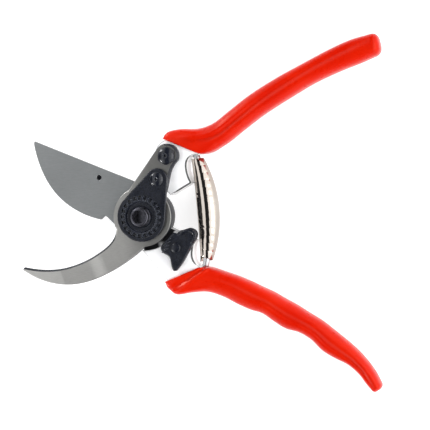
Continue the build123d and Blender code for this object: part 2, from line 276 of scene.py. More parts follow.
def level_rings(loop, low, high, rounding, inward=1):
    """Rings that climb a plate's side, with rounded edges at its bottom and top. A positive inward
    rounds an outer edge and a negative one rounds the edge of a hole."""
    rings = []
    for top in (False, True):
        for k in range(ROUNDING_STEPS + 1):
            share = k / ROUNDING_STEPS
            turn = (share if top else 1 - share) * pi / 2
            rise = rounding * (1 - sin(turn))
            z = high - rise if top else low + rise
            inset = inward * rounding * (1 - cos(turn))
            rings.append([Vector((p.x, p.y, z)) for p in moved_in(loop, inset)])
    return rings


def hole_rings(loops, low, high, rounding, step=HOLE_STEP):
    return [level_rings(even_loop(loop, step), low, high, rounding, inward=-1) for loop in loops]


def plate(name, node, material, rounding, step):
    """A CAD plate made again with rounded edges, from the outlines of its own top face."""
    low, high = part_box(node)[0][2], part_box(node)[1][2]
    loops = cad_loops(node, high)
    outer = level_rings(even_loop(loops[0], step), low, high, rounding)
    return stacked(name, outer, hole_rings(loops[1:], low, high, 0.2 * MM, 0.35 * MM), material)


def softened(node, width, material):
    """A CAD piece made again with its sharp edges rounded."""
    work = bmesh.new()
    work.from_mesh(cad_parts[node].data)
    bmesh.ops.remove_doubles(work, verts=work.verts, dist=2e-6)
    bmesh.ops.dissolve_limit(work, angle_limit=radians(0.6), verts=work.verts, edges=work.edges)
    sharp = [e for e in work.edges if len(e.link_faces) == 2 and e.calc_face_angle() > radians(32)]
    bmesh.ops.bevel(work, geom=sharp, offset=width, segments=3, profile=0.5,
                    affect="EDGES", clamp_overlap=True)
    mesh = bpy.data.meshes.new(node + "_made")
    work.to_mesh(mesh)
    work.free()
    mesh.shade_smooth()
    mesh.set_sharp_from_angle(angle=radians(28))
    mesh.materials.append(material)
    piece = bpy.data.objects.new(node + "_made", mesh)
    bpy.context.scene.collection.objects.link(piece)
    return piece


def finish_sides(piece, material, chosen):
    """Gives the faces that chosen(face) picks a second finish."""
    piece.data.materials.append(material)
    for face in piece.data.polygons:
        if chosen(face):
            face.material_index = 1


# ---------------------------------------------------------------- materials

MIX_FIRST, MIX_SECOND, MIX_RESULT = 6, 7, 2     # a mix node's sockets for colours


class Finish:
    """A node material with a Principled shader and the object's own coordinates."""

    def __init__(self, name, colour, metallic, roughness, **sockets):
        self.material = bpy.data.materials.new(name)
        self.material.use_nodes = True
        tree = self.material.node_tree
        self.nodes, self.links = tree.nodes, tree.links
        self.shader = self.nodes["Principled BSDF"]
        self.set(self.shader, "Base Color", (*colour, 1))
        self.set(self.shader, "Metallic", metallic)
        self.set(self.shader, "Roughness", roughness)
        for socket, value in sockets.items():
            self.set(self.shader, socket.replace("_", " "), value)
        self.place = self.nodes.new("ShaderNodeTexCoord").outputs["Object"]
        self.bump = None

    @staticmethod
    def set(node, socket, value):
        node.inputs[socket].default_value = value

    def noise(self, scale, detail=3.0, stretch=(1, 1, 1), turn=0.0, roughness=0.5, distortion=0.0):
        """Noise over the piece; stretch is larger across the lines than along them."""
        mapping = self.nodes.new("ShaderNodeMapping")
        self.set(mapping, "Scale", stretch)
        self.set(mapping, "Rotation", (0, 0, turn))
        self.links.new(self.place, mapping.inputs["Vector"])
        node = self.nodes.new("ShaderNodeTexNoise")
        self.set(node, "Scale", scale)
        self.set(node, "Detail", detail)
        self.set(node, "Roughness", roughness)
        self.set(node, "Distortion", distortion)
        self.links.new(mapping.outputs["Vector"], node.inputs["Vector"])
        return node.outputs["Fac"]

    def spread(self, value, low, high, start=0.3, end=0.7):
        """Maps a value between start and end to low and high."""
        node = self.nodes.new("ShaderNodeMapRange")
        for socket, number in (("From Min", start), ("From Max", end), ("To Min", low), ("To Max", high)):
            self.set(node, socket, number)
        self.links.new(value, node.inputs["Value"])
        return node.outputs["Result"]

    def colour_mix(self, factor, colour):
        """A mix node that lays a colour over its first colour input."""
        node = self.nodes.new("ShaderNodeMix")
        node.data_type = "RGBA"
        node.inputs[MIX_SECOND].default_value = (*colour, 1)
        self.links.new(factor, node.inputs[0])
        return node

    def blend_colours(self, factor, first, second):
        """A colour between two fixed ones."""
        node = self.colour_mix(factor, second)
        node.inputs[MIX_FIRST].default_value = (*first, 1)
        return node.outputs[MIX_RESULT]

    def over(self, factor, below, colour):
        """A colour laid over another colour output."""
        node = self.colour_mix(factor, colour)
        self.links.new(below, node.inputs[MIX_FIRST])
        return node.outputs[MIX_RESULT]

    def colour_from(self, output):
        self.links.new(output, self.shader.inputs["Base Color"])

    def roughness_from(self, output):
        self.links.new(output, self.shader.inputs["Roughness"])

    def add_bump(self, height, strength, distance):
        node = self.nodes.new("ShaderNodeBump")
        self.set(node, "Strength", strength)
        self.set(node, "Distance", distance)
        self.links.new(height, node.inputs["Height"])
        if self.bump is not None:
            self.links.new(self.bump, node.inputs["Normal"])
        self.bump = node.outputs["Normal"]
        self.links.new(self.bump, self.shader.inputs["Normal"])

    def within(self, radius, centre=(0, 0), blur=0.04 * MM):
        """1 inside a circle seen from above, 0 outside it."""
        shift = self.nodes.new("ShaderNodeMapping")
        self.set(shift, "Location", (-centre[0], -centre[1], 0))
        self.set(shift, "Scale", (1, 1, 0))
        self.links.new(self.place, shift.inputs["Vector"])
        length = self.nodes.new("ShaderNodeVectorMath")
        length.operation = "LENGTH"
        self.links.new(shift.outputs["Vector"], length.inputs[0])
        return self.spread(length.outputs["Value"], 1, 0, radius - blur / 2, radius + blur / 2)

    def product(self, first, second):
        """Two values multiplied."""
        node = self.nodes.new("ShaderNodeMath")
        node.operation = "MULTIPLY"
        self.links.new(first, node.inputs[0])
        self.links.new(second, node.inputs[1])
        return node.outputs["Value"]

    def along(self, axis, low, high, start, end):
        """A value that runs from low to high between two places along an axis."""
        axes = self.nodes.new("ShaderNodeSeparateXYZ")
        self.links.new(self.place, axes.inputs[0])
        return self.spread(axes.outputs[axis], low, high, start, end)

    def edges(self, size=0.4 * MM):
        """1 near a convex edge, 0 elsewhere: it places the forging's painted shade line and the black parts'
        paler edges, which are partly wear and partly painted highlight.
        """
        bevel = self.nodes.new("ShaderNodeBevel")
        bevel.samples = 4
        self.set(bevel, "Radius", size)
        geometry = self.nodes.new("ShaderNodeNewGeometry")
        dot = self.nodes.new("ShaderNodeVectorMath")
        dot.operation = "DOT_PRODUCT"
        self.links.new(bevel.outputs["Normal"], dot.inputs[0])
        self.links.new(geometry.outputs["Normal"], dot.inputs[1])
        return self.spread(dot.outputs["Value"], 1, 0, 0.86, 0.985)


def vinyl():
    """Dipped soft vinyl: deep orange-red, with a soft sheen and the faint waves of the dip."""
    look = Finish("grip_vinyl", (0.72, 0.02, 0.002), 0, 0.34, Specular_IOR_Level=0.28,
                  Specular_Tint=(1.0, 0.42, 0.27, 1))
    cloud = look.noise(45, 3)
    look.colour_from(look.blend_colours(look.spread(cloud, 0, 1), (0.53, 0.006, 0.0004),
                                        (0.60, 0.011, 0.0007)))
    look.roughness_from(look.spread(look.noise(160, 4), 0.24, 0.36))
    look.add_bump(look.noise(110, 2), 0.10, 0.4 * MM)
    look.add_bump(look.noise(1400, 2), 0.05, 0.06 * MM)
    return look.material


HUB_RADIUS = 17.06 * MM


def forged_aluminium():
    """Shot-blasted bright forging, softly grained and nearly white, with painted shade: a dark line along
    its convex edges, and black on the hub's lower and right sides, where its hollow and walls lie in shade.
    """
    look = Finish("forged_aluminium", (0.93, 0.935, 0.94), 0.05, 0.42, Specular_IOR_Level=0.3)
    patch = look.noise(70, 4)
    tone_and_painted_shade = look.blend_colours(look.spread(patch, 0, 1), (0.93, 0.935, 0.94), (0.98, 0.98, 0.98))
    # painted shade: a dark line along the forging's convex edges
    tone_and_painted_shade = look.over(look.edges(1.2 * MM), tone_and_painted_shade, (0.09, 0.09, 0.085))
    # painted shade: black on the hub's hollow and walls below and right of the pivot
    for radius, centre in ((9.0 * MM, Vector((-1.5, -16.5)) * MM), (13.0 * MM, Vector((13.0, -1.0)) * MM)):
        painted_recess_shade = look.product(look.within(HUB_RADIUS), look.within(radius, centre, 2 * MM))
        tone_and_painted_shade = look.over(painted_recess_shade, tone_and_painted_shade, (0.012, 0.012, 0.014))
    look.colour_from(tone_and_painted_shade)
    look.roughness_from(look.spread(look.noise(300, 3), 0.36, 0.5))
    look.add_bump(look.noise(2600, 3, roughness=0.7), 0.22, 0.05 * MM)
    return look.material


def ground_steel(name, dark, light, turn, roughness=0.42, painted_hole_shade=(), darker_from=None):
    """Steel with the fine parallel lines of grinding, at an angle in the plate's plane. Spots given as
    (centre, radius) are painted black as the shade inside holes; right of a given x the steel gets darker."""
    look = Finish(name, light, 0.85, roughness)
    lines = look.noise(420, 6, stretch=(1, 14, 1), turn=turn, roughness=0.65)
    stain = look.noise(38, 4, distortion=0.6)
    tone = look.blend_colours(look.spread(lines, 0, 1), dark, light)
    tone = look.over(look.spread(stain, 0, 0.22, 0.45, 0.75), tone, tuple(c * 0.62 for c in dark))
    # the steel is painted darker towards the hub and arm, right of the given x
    if darker_from is not None:
        darker_share = look.along("X", 0, 0.8, darker_from, darker_from + 14 * MM)
        tone = look.over(darker_share, tone, tuple(c * 0.47 for c in dark))
    # painted shade: black inside holes
    for centre, radius in painted_hole_shade:
        tone = look.over(look.within(radius, centre), tone, (0.006, 0.006, 0.007))
    look.colour_from(tone)
    look.roughness_from(look.spread(lines, roughness - 0.08, roughness + 0.08))
    look.add_bump(lines, 0.2, 0.03 * MM)
    return look.material


def blackened(name, roughness, edge_wear_and_highlight=(0.10, 0.11, 0.13)):
    """Blue-black coated steel or plastic with paler edges, partly wear and partly a painted highlight along
    the rims.
    """
    look = Finish(name, (0.010, 0.011, 0.017), 0, roughness, Specular_IOR_Level=0.34)
    speck = look.noise(900, 4)
    base = look.blend_colours(look.spread(speck, 0, 1), (0.004, 0.005, 0.008), (0.009, 0.011, 0.018))
    # paler edges: wear, and a painted highlight along the rims
    look.colour_from(look.over(look.edges(), base, edge_wear_and_highlight))
    look.roughness_from(look.spread(look.noise(240, 3), roughness - 0.06, roughness + 0.1))
    look.add_bump(look.noise(1900, 3), 0.18, 0.04 * MM)
    return look.material


def polished_nickel():
    """Bright plated spring strip, with faint drawing lines."""
    look = Finish("spring_nickel", (0.90, 0.86, 0.80), 1, 0.08)
    tone = look.noise(90, 3)
    look.colour_from(look.blend_colours(look.spread(tone, 0, 1), (0.42, 0.375, 0.33), (0.48, 0.44, 0.395)))
    look.roughness_from(look.spread(look.noise(500, 3), 0.05, 0.14))
    look.add_bump(look.noise(700, 2, stretch=(1, 5, 1)), 0.05, 0.03 * MM)
    return look.material


def plain_metal(name, colour, roughness, socket=None):
    """Plain metal with a fine grain and a little dirt; socket is the (radius, lowest height) of a
    hollow round the pivot's axis, painted darker as its shade."""
    look = Finish(name, colour, 1, roughness)
    dirt = look.noise(260, 4)
    darker = tuple(c * 0.72 for c in colour)
    tone = look.blend_colours(look.spread(dirt, 0, 1, 0.35, 0.6), darker, colour)
    # painted shade: the socket's hollow darkened
    if socket is not None:
        radius, height = socket
        hollow = look.product(look.within(radius), look.along("Z", 0, 1, height, height + 0.1 * MM))
        tone = look.over(hollow, tone, tuple(c * 0.45 for c in colour))
    look.colour_from(tone)
    look.roughness_from(look.spread(look.noise(800, 3), roughness - 0.08, roughness + 0.1))
    look.add_bump(look.noise(1500, 2), 0.1, 0.03 * MM)
    return look.material


VINYL = vinyl()
ALUMINIUM = forged_aluminium()
LUG_HOLE = Vector((-23.8, 19.5)) * MM
# the lug hole is painted black as its shade
BLADE_STEEL = ground_steel("blade_steel", (0.205, 0.215, 0.215), (0.26, 0.27, 0.27), radians(-20),
                           painted_hole_shade=[(LUG_HOLE, 1.25 * MM)])
HOOK_STEEL = ground_steel("hook_steel", (0.29, 0.29, 0.275), (0.375, 0.37, 0.355), radians(35), 0.36,
                          darker_from=-10 * MM)
BLACK = blackened("black_steel", 0.2)
# paler edges on the nut: wear, and a painted highlight round its teeth
NUT_BLACK = blackened("nut_black", 0.22, edge_wear_and_highlight=(0.11, 0.12, 0.145))
BLACK_PLASTIC = blackened("black_plastic", 0.22)
# painted shade: a dark metal for the bar that stands for the shaded edge round the spring's seats
SEAT_SHADE_LINE = plain_metal("seat_edges", (0.13, 0.13, 0.125), 0.45)
# painted shade: a greyer metal for the forgings' sides
FORGED_SIDE_SHADE = plain_metal("forged_sides", (0.48, 0.485, 0.49), 0.5)
# painted shade: a dark finish for steel sides and chamfers that fall into shade, and for the lug hole's fill
SIDE_SHADE_BLACK = blackened("blackened_sides", 0.45, edge_wear_and_highlight=(0.03, 0.03, 0.034))
NICKEL = polished_nickel()
STEEL = plain_metal("turned_steel", (0.56, 0.57, 0.58), 0.32)
BOLT_STEEL = plain_metal("bolt_steel", (0.08, 0.08, 0.094), 0.3, socket=(3.35 * MM, 18 * MM))
BRONZE = plain_metal("bush_bronze", (0.60, 0.38, 0.18), 0.35)


# ---------------------------------------------------------------- camera, floor and light

CAMERA_DISTANCE = 0.65
FOCAL_LENGTH = 109.5           # mm


def point_camera():
    """Almost straight down, tipped a little towards the grips."""
    tip, lean = radians(14), radians(2)
    back = Vector((sin(tip) * cos(lean), sin(lean), cos(tip) * cos(lean)))
    right = Vector((0, 1, 0)).cross(back).normalized()
    up = back.cross(right)
    target = Vector((35.9, 1.0, 10.5)) * MM
    camera = bpy.data.objects.new("camera", bpy.data.cameras.new("camera"))
    camera.data.lens = FOCAL_LENGTH
    camera.data.clip_start = 0.01
    camera.matrix_world = Matrix((right, up, back)).transposed().to_4x4()
    camera.location = target + back * CAMERA_DISTANCE
    bpy.context.scene.collection.objects.link(camera)
    bpy.context.scene.camera = camera


def lay_floor():
    """A large sheet of white paper just under the tool."""
    side = 4.0
    mesh = bpy.data.meshes.new("floor")
    mesh.from_pydata([(-side, -side, 0), (side, -side, 0), (side, side, 0), (-side, side, 0)], [],
                     [(0, 1, 2, 3)])
    floor = bpy.data.objects.new("floor", mesh)
    floor.location.z = cad_box[0][2] - 0.05 * MM
    bpy.context.scene.collection.objects.link(floor)
    look = Finish("floor_paper", (0.55, 0.55, 0.55), 0, 0.9, Emission_Strength=0.70,
                  Emission_Color=(1, 1, 1, 1))
    look.colour_from(look.blend_colours(look.noise(3, 2), (0.54, 0.54, 0.54), (0.56, 0.56, 0.56)))
    mesh.materials.append(look.material)


SKY = 2.1                      # how bright the right side of the surround is
LEFT_SKY = 0.8 * SKY
DIM, DARK = 0.05, 0.03
# How bright the surround is from its left end, at 0, to its right end, at 1.
SKY_STOPS = ((0.10, DIM), (0.14, LEFT_SKY), (0.325, LEFT_SKY), (0.35, DARK), (0.64, DARK), (0.665, SKY))


def light_sky():
    """A white surround with a dim left end and a dark strip overhead. The strip keeps the flat steel
    grey, and the spring's round strip mirrors it as a black line."""
    world = bpy.data.worlds.new("surround")
    bpy.context.scene.world = world
    world.use_nodes = True
    nodes, links = world.node_tree.nodes, world.node_tree.links
    background = nodes["Background"]
    place = nodes.new("ShaderNodeTexCoord").outputs["Generated"]
    parts = nodes.new("ShaderNodeSeparateXYZ")
    links.new(place, parts.inputs[0])
    ramp = nodes.new("ShaderNodeValToRGB")
    ramp.color_ramp.interpolation = "EASE"
    first, last = ramp.color_ramp.elements
    first.position, first.color = 0.0, (*[DIM] * 3, 1)
    last.position, last.color = 1.0, (*[SKY] * 3, 1)
    for position, level in SKY_STOPS:
        stop = ramp.color_ramp.elements.new(position)
        stop.color = (level, level, level * 1.02, 1)
    half = nodes.new("ShaderNodeMapRange")
    half.inputs["From Min"].default_value = -1
    links.new(parts.outputs["X"], half.inputs["Value"])
    links.new(half.outputs["Result"], ramp.inputs["Fac"])
    path = nodes.new("ShaderNodeLightPath")
    mix = nodes.new("ShaderNodeMix")
    mix.data_type = "RGBA"
    mix.inputs[MIX_SECOND].default_value = (1, 1, 1, 1)
    links.new(path.outputs["Is Camera Ray"], mix.inputs[0])
    links.new(ramp.outputs["Color"], mix.inputs[MIX_FIRST])
    links.new(mix.outputs[MIX_RESULT], background.inputs["Color"])


def softbox(name, place, target, size, watts):
    """A rectangular lamp that faces its target."""
    light = bpy.data.lights.new(name, "AREA")
    light.shape = "RECTANGLE"
    light.size, light.size_y = size
    light.energy = watts
    lamp = bpy.data.objects.new(name, light)
    lamp.location = place
    lamp.rotation_euler = (Vector(target) - Vector(place)).to_track_quat("-Z", "Y").to_euler()
    bpy.context.scene.collection.objects.link(lamp)


point_camera()
lay_floor()
light_sky()
softbox("right_box", (0.9, 0.0, 0.55), (0.03, 0, 0), (0.9, 0.5), 4)
softbox("upper_left_box", (-0.45, 0.38, 0.17), (0.01, 0.02, 0.02), (0.10, 0.10), 1.7)
softbox("lower_left_box", (-0.45, -0.34, 0.17), (0.01, 0.02, 0.02), (0.10, 0.10), 1.7)
scene = bpy.context.scene
scene.view_settings.view_transform = "Standard"
scene.view_settings.look = "None"
scene.view_settings.exposure = 0.0


# ---------------------------------------------------------------- grips

GRIP_STATIONS, GRIP_AROUND = 250, 88
GRIP_LIP = 0.9                 # mm, the rounding of a coat's front end


def superellipse(turn, power):
    """A point of a rounded square of half size 1; a higher power is squarer."""
    c, s = cos(turn), sin(turn)
    return abs(c) ** (2 / power) * (1 if c >= 0 else -1), abs(s) ** (2 / power) * (1 if s >= 0 else -1)


def hump(x, centre, width):
    """A smooth bump of height 1 round a centre."""
    return exp(-((x - centre) / width) ** 2)


def grip(name, pairs, heights, relief, cap_reach):
    """A dipped sleeve. pairs are (edge beside the fingers' gap, outer edge) in mm from front to end;
    heights are half thicknesses in mm along it; relief(share, across) lifts the top and bottom faces;
    cap_reach is how far the rounded end goes past the last pair, in mm."""
    rows = spline([Vector((*a, *b)) for a, b in pairs], GRIP_STATIONS)
    middle_z = (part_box(name)[0][2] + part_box(name)[1][2]) / 2
    halves = [h.x for h in spline([Vector((h, 0)) for h in heights], GRIP_STATIONS)]

    def heading(ahead, behind):
        """The direction between the middles of two rows."""
        step = ahead - behind
        return Vector((step[0] + step[2], step[1] + step[3], 0)).normalized()

    def ring(row, half, shrink=1.0, push=Vector((0, 0, 0)), share=0.0):
        inner, outer = Vector((row[0], row[1], 0)), Vector((row[2], row[3], 0))
        centre, reach = (inner + outer) / 2, (outer - inner) / 2
        slim = 1 - 1.6 * (1 - shrink) / reach.length
        power = 2.5 + 3.0 * max(0.0, 1 - share / 0.16)
        out = []
        for i in range(GRIP_AROUND):
            c, s = superellipse(2 * pi * i / GRIP_AROUND, power)
            lift = relief(share, c) * (1 if s > 0 else -1) * min(1.0, abs(s) * 1.6)
            tall = (half * s + lift) * shrink
            spot = centre + reach * c * slim + push + Vector((0, 0, tall))
            out.append(spot * MM + Vector((0, 0, middle_z)))
        return out

    first, last = rows[0], rows[-1]
    into = heading(rows[1], first)
    rings = [ring(first, halves[0], 0.74, into * 0.5)]
    for k in range(5):
        turn = k / 4 * pi / 2
        rings.append(ring(first, halves[0], 1 - 0.10 * (1 - sin(turn)), into * GRIP_LIP * (1 - cos(turn))))
    for i in range(1, GRIP_STATIONS):
        if (Vector(rows[i][:2]) - Vector(first[:2])).length > GRIP_LIP * 0.9:
            rings.append(ring(rows[i], halves[i], share=i / (GRIP_STATIONS - 1)))
    outward_end = heading(last, rows[-3])
    for k in range(1, 12):
        turn = k / 12 * pi / 2
        size = cos(turn) ** 0.55
        centre = ring(last, halves[-1], 1.0, outward_end * cap_reach * sin(turn), share=1.0)
        middle = sum(centre, Vector()) / GRIP_AROUND
        rings.append([middle + (p - middle) * size for p in centre])
    return tube(name + "_vinyl", rings, VINYL, 50)


def make_grips():
    """The upper coat has a ridge at its front; both have a long shallow valley, and the lower one has
    a step behind its front end."""
    upper_pairs = [
        ((28.8, 31.2), (9.0, 39.2)), ((31.2, 31.4), (12.0, 42.4)),
        ((34.6, 32.4), (18.2, 43.8)), ((38.8, 34.7), (27.4, 44.0)),
        ((43.4, 37.7), (35.2, 46.8)), ((50.9, 43.6), (42.8, 52.5)),
        ((61.0, 51.0), (53.4, 60.4)), ((73.5, 58.7), (66.2, 68.2)),
        ((85.7, 65.7), (79.6, 75.2)), ((98.0, 71.2), (92.0, 81.5)),
        ((107.6, 74.8), (102.6, 86.1)), ((115.0, 77.9), (112.4, 88.8))]

    def upper_relief(share, across):
        ridge_place = 0.3 - 0.25 * share
        ridge = 1.1 * hump(across, ridge_place, 0.16) * max(0.0, 1 - share / 0.5) * min(1.0, share / 0.06)
        valley_place = -0.02 + 0.42 * max(0.0, share - 0.35) / 0.65
        valley = 1.15 * hump(across, valley_place, 0.24)
        return ridge - valley * min(1.0, share / 0.15) * min(1.0, (1.02 - share) / 0.12)

    def lower_relief(share, across):
        step = 0.45 * hump(share, 0.062, 0.016) - 0.85 * hump(share, 0.036, 0.010)
        valley_place = -0.25 + 0.55 * share
        valley = 1.1 * hump(across, valley_place, 0.25)
        return step - valley * min(1.0, share / 0.3) * min(1.0, (1.02 - share) / 0.1)

    lower_pairs = [
        ((29.0, -24.7), (10.2, -32.8)), ((31.0, -24.9), (12.6, -36.6)),
        ((33.4, -25.2), (17.0, -39.0)), ((36.8, -26.0), (24.5, -37.9)),
        ((41.2, -27.3), (32.5, -37.5)), ((47.0, -29.1), (40.5, -39.8)),
        ((53.3, -31.5), (47.5, -43.2)), ((59.5, -34.3), (54.0, -45.8)),
        ((65.5, -36.9), (60.0, -47.5)), ((71.2, -40.0), (66.0, -51.4)),
        ((76.7, -42.8), (71.8, -54.7)), ((83.2, -46.7), (78.5, -56.4)),
        ((89.7, -50.5), (84.5, -59.8)), ((95.6, -54.9), (90.0, -65.0)),
        ((101.6, -59.5), (96.0, -68.4)), ((107.1, -64.2), (102.3, -71.3)),
        ((111.9, -69.3), (107.6, -75.5)), ((115.9, -74.6), (111.3, -80.2)),
        ((118.5, -79.4), (113.7, -82.9))]
    upper = grip("upper_grip", upper_pairs, [6.9, 7.4, 7.7, 7.7, 7.5, 7.3, 7.1], upper_relief, 3.8)
    lower = grip("lower_grip", lower_pairs, [6.9, 7.4, 7.7, 7.7, 7.4, 7.0, 6.4], lower_relief, 2.6)
    finish_piece(upper, PIVOT_SIDE, "grip", "upper_grip")
    finish_piece(lower, BLADE_SIDE, "grip", "lower_grip")


# ---------------------------------------------------------------- blades

def outward(loop):
    """The outward direction at each point of an anticlockwise loop."""
    out = []
    for i, point in enumerate(loop):
        along = (loop[(i + 1) % len(loop)] - loop[i - 1]).normalized()
        out.append(Vector((along.y, -along.x)))
    return out


BACK_ROUNDING = 0.3 * MM       # on the cutting blade's edges that don't cut


def make_cutting_blade():
    """Flat on the side that passes the hook; the edge is ground from below in one broad bevel."""
    low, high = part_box("cutting_blade")[0][2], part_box("cutting_blade")[1][2]
    loops = cad_loops("cutting_blade", high)
    outer = even_loop(loops[0], 0.5 * MM)
    facing = outward(outer)
    notch = Vector((-22.8, -1.7)) * MM
    tip = Vector((-58.7, 37.4)) * MM
    bevel_reach, land = 8.5 * MM, 0.1 * MM
    ground, crisp = [], []
    for point, way in zip(outer, facing):
        cutting = point.x < notch.x - 0.3 * MM and way.y < 0.3
        room = min(1.0, (point - notch).length / (9 * MM))
        room *= min(1.0, (point - tip).length / (16 * MM)) ** 0.8
        ground.append(bevel_reach * room if cutting else BACK_ROUNDING)
        crisp.append(0.04 * MM if cutting else BACK_ROUNDING)
    rings = []
    thick = high - low
    for share, height in ((1.0, low), (0.72, low + 0.30 * thick), (0.36, low + 0.66 * thick),
                          (0.05, high - 0.22 * MM)):
        back = BACK_ROUNDING * max(0.0, 1 - 3 * (height - low) / thick)
        inset = [g * share if g > BACK_ROUNDING + 0.01 * MM else back for g in ground]
        rings.append([Vector((p.x, p.y, height)) for p in moved_in(outer, inset)])
    rings.append([Vector((p.x, p.y, high - land)) for p in outer])
    for k in range(1, 4):
        turn = k / 3 * pi / 2
        shift = [c * (1 - cos(turn)) for c in crisp]
        rings.append([Vector((p.x, p.y, high - land * (1 - sin(turn)))) for p in moved_in(outer, shift)])
    holes = hole_rings(loops[1:], low, high, 0.25 * MM)
    blade = stacked("cutting_blade_ground", rings, holes, BLADE_STEEL, 20)
    # painted shade on the blade's sides near the hub
    finish_sides(blade, SIDE_SHADE_BLACK, lambda face: abs(face.normal.z) < 0.3 and face.center.x > -13 * MM)
    finish_piece(blade, BLADE_SIDE, "steel", "cutting_blade")
    # painted shade: a black disc inside the lug hole, where the hole shows only shadow
    shade_disc_rings = [circle(1.5 * MM, z, 48, LUG_HOLE) for z in (low + 0.1 * MM, low + 0.8 * MM)]
    finish_piece(stacked("lug_hole_floor", shade_disc_rings, [], SIDE_SHADE_BLACK), BLADE_SIDE, "steel")


def make_counter_blade():
    """Hook, hub and arm: chamfered along the jaw and the arm's rim, with painted shade on those chamfers and
    on the sides, a hollow at the hook's root and a facet that thins its tip."""
    low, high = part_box("counter_blade")[0][2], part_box("counter_blade")[1][2]
    loops = cad_loops("counter_blade", high)
    outer = even_loop(loops[0], 0.5 * MM)
    facing = outward(outer)
    wide_chamfer, narrow_chamfer = 0.95 * MM, 0.28 * MM
    chamfer = []
    for point, way in zip(outer, facing):
        jaw = point.x < -13.3 * MM and point.y < -5.5 * MM
        jaw = jaw and (way.y > 0.1 or (way.x < -0.8 and point.y > -16 * MM))
        arm_rim = point.y > 9 * MM and point.x > 4 * MM and way.x * 0.94 + way.y * 0.34 > 0.1
        chamfer.append(wide_chamfer if jaw or arm_rim else narrow_chamfer)
    rings = [[Vector((p.x, p.y, low)) for p in moved_in(outer, 0.2 * MM)],
             [Vector((p.x, p.y, low + 0.2 * MM)) for p in outer],
             [Vector((p.x, p.y, high - c * 0.9)) for p, c in zip(outer, chamfer)]]
    for share in (0.35, 0.7, 1.0):
        inset = moved_in(outer, [c * share for c in chamfer])
        rings.append([Vector((p.x, p.y, high - c * 0.9 * (1 - share) ** 1.15))
                      for p, c in zip(inset, chamfer)])
    holes = hole_rings(loops[1:], low, high, 0.2 * MM)
    blade = stacked("counter_blade_ground", rings, holes, HOOK_STEEL, 20)
    work = bmesh.new()
    work.from_mesh(blade.data)
    facet = Vector((-42.4, -31, 0)) * MM
    facet_way = Vector((-1, -0.36, 0)).normalized()
    cuts = [(facet, facet_way)]
    hollow = Vector((-19.0, -25.0, 0)) * MM
    hollow_way = Vector((-0.92, -0.39, 0)).normalized()
    hollow_depth, hollow_reach, tip_slope = 0.55 * MM, 8, 0.062
    cuts += [(hollow + hollow_way * d * MM, hollow_way) for d in range(hollow_reach + 1)]
    for spot, way in cuts:
        bmesh.ops.bisect_plane(work, geom=work.verts[:] + work.edges[:] + work.faces[:], plane_co=spot,
                               plane_no=way)
    middle = (low + high) / 2
    for vert in work.verts:
        if vert.co.z < middle or vert.co.x > -12 * MM or vert.co.y > -5 * MM:
            continue
        beyond = (vert.co - facet).dot(facet_way)
        ease = min(1.0, max(0.0, (vert.co - hollow).dot(hollow_way) / (hollow_reach * MM)))
        vert.co.z -= hollow_depth * ease * ease * (3 - 2 * ease) + max(0.0, beyond) * tip_slope
    work.to_mesh(blade.data)
    work.free()
    blade.data.shade_smooth()
    blade.data.set_sharp_from_angle(angle=radians(3.2))
    flat_faces_flat(blade)

    def on_shaded_rim(face):
        arm = face.center.y > 9 * MM and face.center.x > 4 * MM
        jaw = face.center.x < -14 * MM and face.center.y < -8 * MM
        return arm or (jaw and (face.normal.y > 0.15 or face.normal.x < -0.4))

    # painted shade on the sides, and on the chamfers of the jaw and the arm's rim
    finish_sides(blade, SIDE_SHADE_BLACK, lambda face: face.center.z > low + 0.02 * MM
                 and face.normal.z < (0.9 if on_shaded_rim(face) else 0.35))
    finish_piece(blade, PIVOT_SIDE, "steel", "counter_blade")


# ---------------------------------------------------------------- pivot group

def relief_disc(name, radii, height, teeth, per_tooth, material, floor_z):
    """A disc from polar rings, with height(radius, tooth phase) for its top face."""
    steps = teeth * per_tooth
    rings = [circle(radii[0], floor_z, steps)]
    for r in radii:
        rings.append([Vector((p.x, p.y, height(r, (i % per_tooth) / per_tooth)))
                      for i, p in enumerate(circle(r, 0, steps))])
    rings.append(circle(radii[-1], floor_z, steps))
    return tube(name, rings, material, 30, closed=True)


def make_centre_nut():
    """Round nut: a dished face inside a raised ring of square teeth."""
    low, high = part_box("centre_nut")[0][2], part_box("centre_nut")[1][2]
    radii = [r * MM for r in (5.02, 5.3, 5.6, 6.2, 6.8, 7.2, 7.4, 7.6, 7.9, 8.2, 8.35, 8.45, 8.6, 8.8, 9.1,
                              9.4, 9.7, 9.95, 10.1, 10.2, 10.3)]

    dish_depth, notch_depth, rim_drop = 0.9 * MM, 1.25 * MM, 0.55 * MM

    def height(r, phase):
        mm = r / MM
        z = high - dish_depth if mm < 7.3 else high
        if 7.3 <= mm < 7.95:
            z = high - dish_depth * (7.95 - mm) / 0.65
        if mm < 5.4:
            z -= 0.25 * MM * (5.4 - mm) / 0.4
        if mm > 9.9:
            z -= rim_drop * (mm - 9.9) / 0.4
        if mm > 8.4:
            edge = min(1.0, (mm - 8.4) / 0.12)
            notch = min(1.0, max(0.0, (0.30 - abs(phase - 0.5)) / 0.05))
            z -= notch_depth * edge * notch
        return z

    nut = relief_disc("centre_nut_toothed", radii, height, 21, 24, NUT_BLACK, low)
    finish_piece(nut, PIVOT_SIDE, "black", "centre_nut")


def make_locking_plate():
    made = plate("locking_plate_made", "locking_plate", BLACK, 0.55 * MM, 0.5 * MM)
    finish_piece(made, PIVOT_SIDE, "black", "locking_plate")


def make_pivot_bolt():
    """Head below, plain shank, and a dark turned end with a socket above."""
    made = softened("pivot_bolt", 0.35 * MM, BOLT_STEEL)
    finish_piece(made, PIVOT_SIDE, "pivot", "pivot_bolt")


